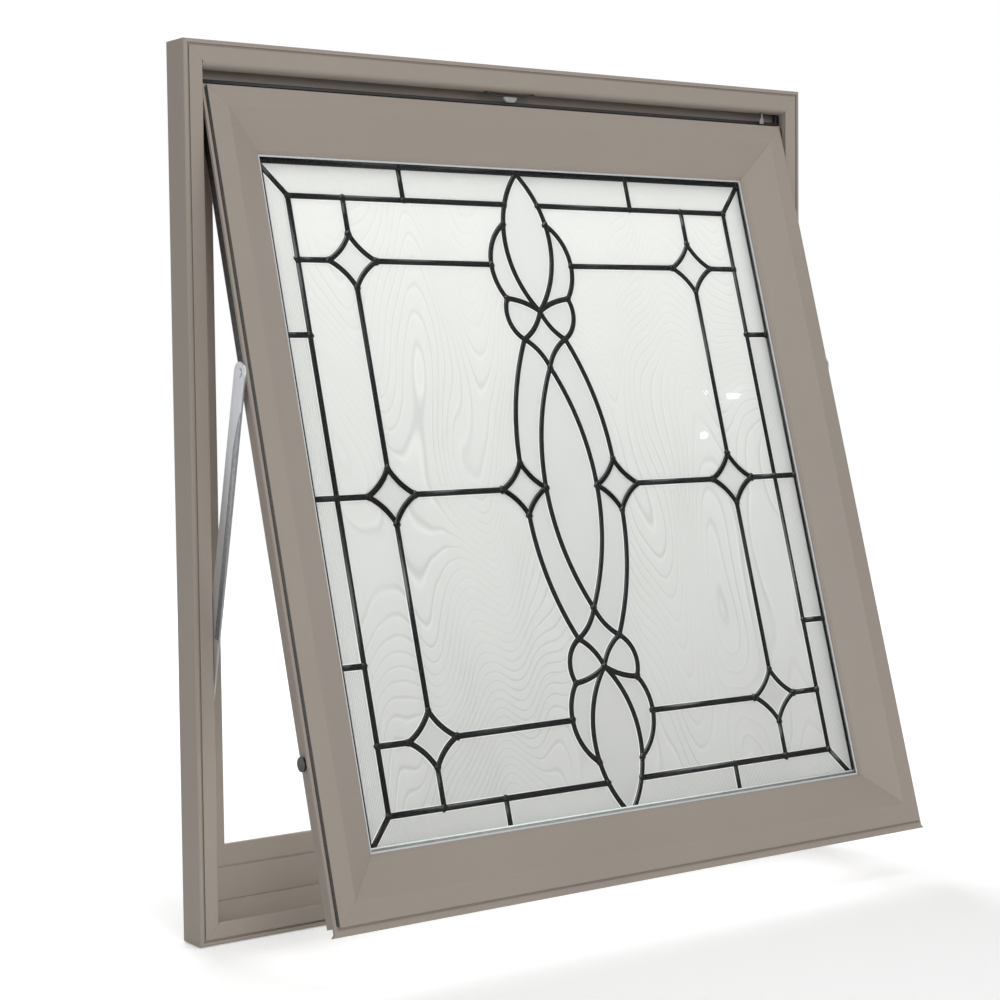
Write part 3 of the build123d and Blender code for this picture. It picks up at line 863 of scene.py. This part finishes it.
def makeGrooveShadeStrip():
    size = grooveShadeStrip
    mesh = bmesh.new()
    ends = size["halfLength"]
    for side in (-1, 1):
        bar(mesh, [-ends, 0, ends], size["section"],
            lambda up, point: onSash(side * (size["faceEdge"] + point[0]), up, point[1]))
    makePiece("grooveShadeStrip", mesh, "shoePlasticAndShade")


footTrim = {
    "halfLength": 363.0,
    "front": 30.35,
    "back": 31.6,
    "foot": -395.0,
    "top": -386.2,
    "lineTop": -384.6,
    "ease": 0.3,
}


# what shows of the spacer at the foot of the glass: a grey-green strip with a bright edge
def makeFootTrim():
    size = footTrim
    for name, finish, low, high in (("footTrim", "footSpacer", size["foot"], size["top"]),
                                    ("footLine", "brightSealant", size["top"], size["lineTop"])):
        section = easedBox(low, high, size["front"], size["back"], size["ease"])
        mesh = bmesh.new()
        bar(mesh, [-size["halfLength"], 0, size["halfLength"]], section,
            lambda across, point: onSash(across, point[0], point[1]))
        makePiece(name, mesh, finish)


# the stop that hangs from the head, in metres
headStop = {
    "middle": -0.0125,
    "setback": -0.010,
    # the block's heights, and how far it reaches to each side there
    "levels": [(0.9580, 0.00576), (0.9592, 0.0072), (0.9611, 0.00885), (0.9632, 0.0105), (0.9642, 0.00966)],
    "halfDepth": 0.0035,
    "ease": 0.0021,
    "springHalf": 0.036,
    "springTop": 0.9690,
    "springRise": 0.0044,
    "springSection": (-0.0028, 0.0028, -0.0008, 0.0008, 0.00064),
}


# moulded stop that hangs over the sash's top edge, on a dark bowed spring
def makeHeadStop():
    size = headStop
    half = size["halfDepth"]
    mesh = bmesh.new()
    rings = []
    for height, reach in size["levels"]:
        outline = easedBox(-reach, reach, -half, half, size["ease"])
        ring = [(size["middle"] + x, size["setback"] + y, height) for x, y in outline]
        rings.append([mesh.verts.new(place) for place in ring])
    skin(mesh, rings)
    mesh.faces.new(rings[0][::-1])
    mesh.faces.new(rings[-1])
    makePiece("headStopBlock", mesh, "greyPlastic", ["head_block"])

    mesh = bmesh.new()
    stations = [k / 12 for k in range(-12, 13)]

    def springPlace(share, point):
        drop = size["springRise"] * (1 - share * share)
        return Vector((size["middle"] + share * size["springHalf"], size["setback"] + point[0],
                       size["springTop"] - drop + point[1]))

    bar(mesh, stations, easedBox(*size["springSection"]), springPlace)
    makePiece("headStopSpring", mesh, "darkSteelAndShade", ["head_bracket"])


makeWeatherStripAndShade()
makeGrooveShadeStrip()
makeFootTrim()
makeHeadStop()
print("strips and head stop made")

# what stands behind the frame's lip, as depths and heights in millimetres
frameReturn = {
    "halfWidth": 431.3,
    "headSection": [(-19.97, 978.0), (-19.95, 976.3), (-19.6, 974.9), (-18.8, 973.4), (-17.4, 972.0),
                    (-15.2, 970.8), (-12.4, 969.8), (-9.5, 969.2), (-7.0, 969.0),
                    (-7.0, 987.6), (-15.8, 987.6), (-15.8, 978.0)],
    "jambNear": 431.6,
    "jambFar": 433.1,
    "jambFront": -15.8,
    "jambEase": 0.4,
    "jambBack": -9.6,
    "jambFoot": 52.0,
    "shoulder": 939.0,          # above the shoe the return is deeper
    "shoulderBack": -6.0,
    "top": 987.6,
}


# coated return behind the lip of the head and the jambs
def makeFrameReturn():
    size = frameReturn
    mesh = bmesh.new()
    ends = size["halfWidth"]
    bar(mesh, [-ends, 0, ends], size["headSection"],
        lambda across, point: Vector((across, point[0], point[1])) * 0.001)
    for side in (-1, 1):
        for low, high, back in ((size["jambFoot"], size["shoulder"], size["jambBack"]),
                                (size["shoulder"], size["top"], size["shoulderBack"])):
            section = easedBox(size["jambNear"], size["jambFar"], size["jambFront"], back, size["jambEase"])
            bar(mesh, [low, high], section,
                lambda height, point: Vector((side * point[0], point[1], height)) * 0.001)
    piece = makePiece("frameReturn", mesh, "coat")
    piece.data.set_sharp_from_angle(angle=math.radians(edgeRounding["angle"]))


# as places across, depths, and levels of height with the share of the width there
cornerTab = {
    "left": 390.5,
    "right": 398.0,
    "front": -14.2,
    "back": -11.4,
    "ease": 0.8,
    "levels": [(955.0, 0.75), (955.8, 1.0), (961.0, 1.0), (962.4, 0.35), (971.8, 0.35)],
}


# light tab on a thin stem that hangs from the head near its right end
def makeCornerTab():
    size = cornerTab
    mesh = bmesh.new()
    levels = size["levels"]
    middle, half = (size["left"] + size["right"]) / 2, (size["right"] - size["left"]) / 2
    outline = easedBox(-half, half, size["front"], size["back"], size["ease"])
    bar(mesh, levels, outline,
        lambda level, point: Vector((middle + point[0] * level[1], point[1], level[0])) * 0.001)
    makePiece("cornerTab", mesh, "trackSteel")


makeFrameReturn()
makeCornerTab()
print("frame return made")

# painted shade: a darker strip along the front edge of each stay, on its side towards the jamb, in a shaded
# copy of the stay's steel
stayShadeStrip = {
    "upper": (-88.4, 637.2),    # the stay's two pivots, as depth and height
    "lower": (-4.0, 279.0),
    "face": 431.2,
    "section": (2.8, 11.7, -0.3, 0.6, 0.3),     # from and to across the stay, seat, rise and ease
    # runs from the upper pivot, and how much of the strip's width there is
    "runs": [(42.0, 0.12), (58.0, 0.6), (85.0, 1.0), (300.0, 1.0)],
}


def makeStayShadeStrip():
    size = stayShadeStrip
    upper, lower = Vector(size["upper"]), Vector(size["lower"])
    way = (lower - upper).normalized()
    forward = Vector((way.y, -way.x))
    section = easedBox(*size["section"])
    edge = size["section"][1]
    mesh = bmesh.new()
    for side in (-1, 1):

        def stripPlace(station, point):
            run, share = station
            place = upper + way * run + forward * (edge - (edge - point[0]) * share)
            return Vector((side * (size["face"] + point[1]), place.x, place.y)) * 0.001

        bar(mesh, size["runs"], section, stripPlace)
    makePiece("stayShadeStrip", mesh, "stayShadeSteel")


makeStayShadeStrip()
print("stay strips made")

studio = {
    "floorDrop": 0.001,
    "floorHalf": 9.0,
    "floorWhite": 0.86,
    "ambient": 0.46,
    "glow": (0.25, 0.62),       # what the eye sees added to the floor, near the window and far off
    "glowReach": (1.6, 4.6),    # from and to these distances it grows
    "lamps": [
        # name, place, aimed at, size, watts
        ("keyLamp", (-1.1, -3.6, 1.5), (0, -0.1, 0.5), 1.8, 62.0),
        ("topLamp", (0.4, -1.6, 4.0), (0, -0.1, 0.5), 1.6, 16.0),
        ("backLamp", (0.5, 2.9, 2.6), (0, 0, 0.6), 2.2, 85.0),
        # small far lamps, which the glass mirrors as white spots
        ("spotLampA", (2.400, -2.138, 1.825), (0.15, -0.12, 0.6), 0.018, 0.034),
        ("spotLampB", (2.418, -2.132, 1.821), (0.15, -0.12, 0.6), 0.018, 0.034),
        ("spotLampC", (2.316, -2.202, 1.742), (0.15, -0.12, 0.6), 0.022, 0.055),
        ("spotLampD", (2.336, -2.155, 1.848), (0.15, -0.12, 0.6), 0.012, 0.010),
    ],
    # strip of light between the open sash and the sill, which the camera doesn't see
    "sillLight": {
        "place": (0, -0.15, 0.20),
        "aim": (0, 0.015, 0.07),
        "length": 0.8,
        "width": 0.03,
        "watts": 0.5,
    },
}


# an area lamp turned towards its aim
def addLamp(name, place, aim, watts, shape):
    lampData = bpy.data.lights.new(name, "AREA")
    lampData.shape = shape
    lampData.energy = watts
    lamp = bpy.data.objects.new(name, lampData)
    scene.collection.objects.link(lamp)
    turn = (Vector(aim) - Vector(place)).to_track_quat("-Z", "Y")
    lamp.matrix_world = Matrix.Translation(Vector(place)) @ turn.to_matrix().to_4x4()
    return lamp


# 1 for what the eye, a reflection or glass shows, and 0 for light that falls on the object
def seenDirectly(tree):
    path = put(tree, "LightPath")
    mirrored = calc(tree, "MAXIMUM", path.outputs["Is Glossy Ray"], path.outputs["Is Transmission Ray"])
    return calc(tree, "MAXIMUM", path.outputs["Is Camera Ray"], mirrored)


# white to look at, and a plain soft light on the object
def makeWorld():
    world = bpy.data.worlds.new("studioWorld")
    scene.world = world
    world.use_nodes = True
    tree = world.node_tree
    tree.nodes.clear()
    light = put(tree, "Background", Color=(1, 1, 1, 1), Strength=studio["ambient"])
    backdrop = put(tree, "Background", Color=(1, 1, 1, 1), Strength=1.0)
    mix = put(tree, "MixShader")
    tree.links.new(seenDirectly(tree), mix.inputs[0])
    join(tree, light, "Background", mix, 1)
    join(tree, backdrop, "Background", mix, 2)
    output = put(tree, "OutputWorld")
    join(tree, mix, "Shader", output, "Surface")


def makeLamps():
    for name, place, aim, size, watts in studio["lamps"]:
        addLamp(name, place, aim, watts, "DISK").data.size = size
    strip = studio["sillLight"]
    lamp = addLamp("sillLight", strip["place"], strip["aim"], strip["watts"], "RECTANGLE")
    lamp.data.size = strip["length"]
    lamp.data.size_y = strip["width"]
    lamp.visible_camera = lamp.visible_glossy = lamp.visible_transmission = False


# pale floor that keeps the object's shadow
def makeFloor():
    mesh = bmesh.new()
    half, drop = studio["floorHalf"], studio["floorDrop"]
    corners = ((-half, -half), (half, -half), (half, half), (-half, half))
    mesh.faces.new([mesh.verts.new((x, y, -drop)) for x, y in corners])
    data = bpy.data.meshes.new("studioFloor")
    mesh.to_mesh(data)
    mesh.free()
    floor = bpy.data.objects.new("studioFloor", data)
    scene.collection.objects.link(floor)
    material, tree = newMaterial("paleFloor")
    white = studio["floorWhite"]
    matte = put(tree, "BsdfDiffuse", Color=(white, white, white, 1))
    glow = put(tree, "Emission", Color=(1, 1, 1, 1))
    reach = put(tree, "VectorMath", {"operation": "LENGTH"})
    join(tree, put(tree, "TexCoord"), "Object", reach, 0)
    rise = carried(tree, reach.outputs["Value"], studio["glowReach"], studio["glow"])
    tree.links.new(calc(tree, "MULTIPLY", seenDirectly(tree), rise), glow.inputs["Strength"])
    both = put(tree, "AddShader")
    join(tree, matte, "BSDF", both, 0)
    join(tree, glow, "Emission", both, 1)
    finishShader(tree, both, "Shader")
    data.materials.append(material)


makeWorld()
makeLamps()
makeFloor()
print("studio built")
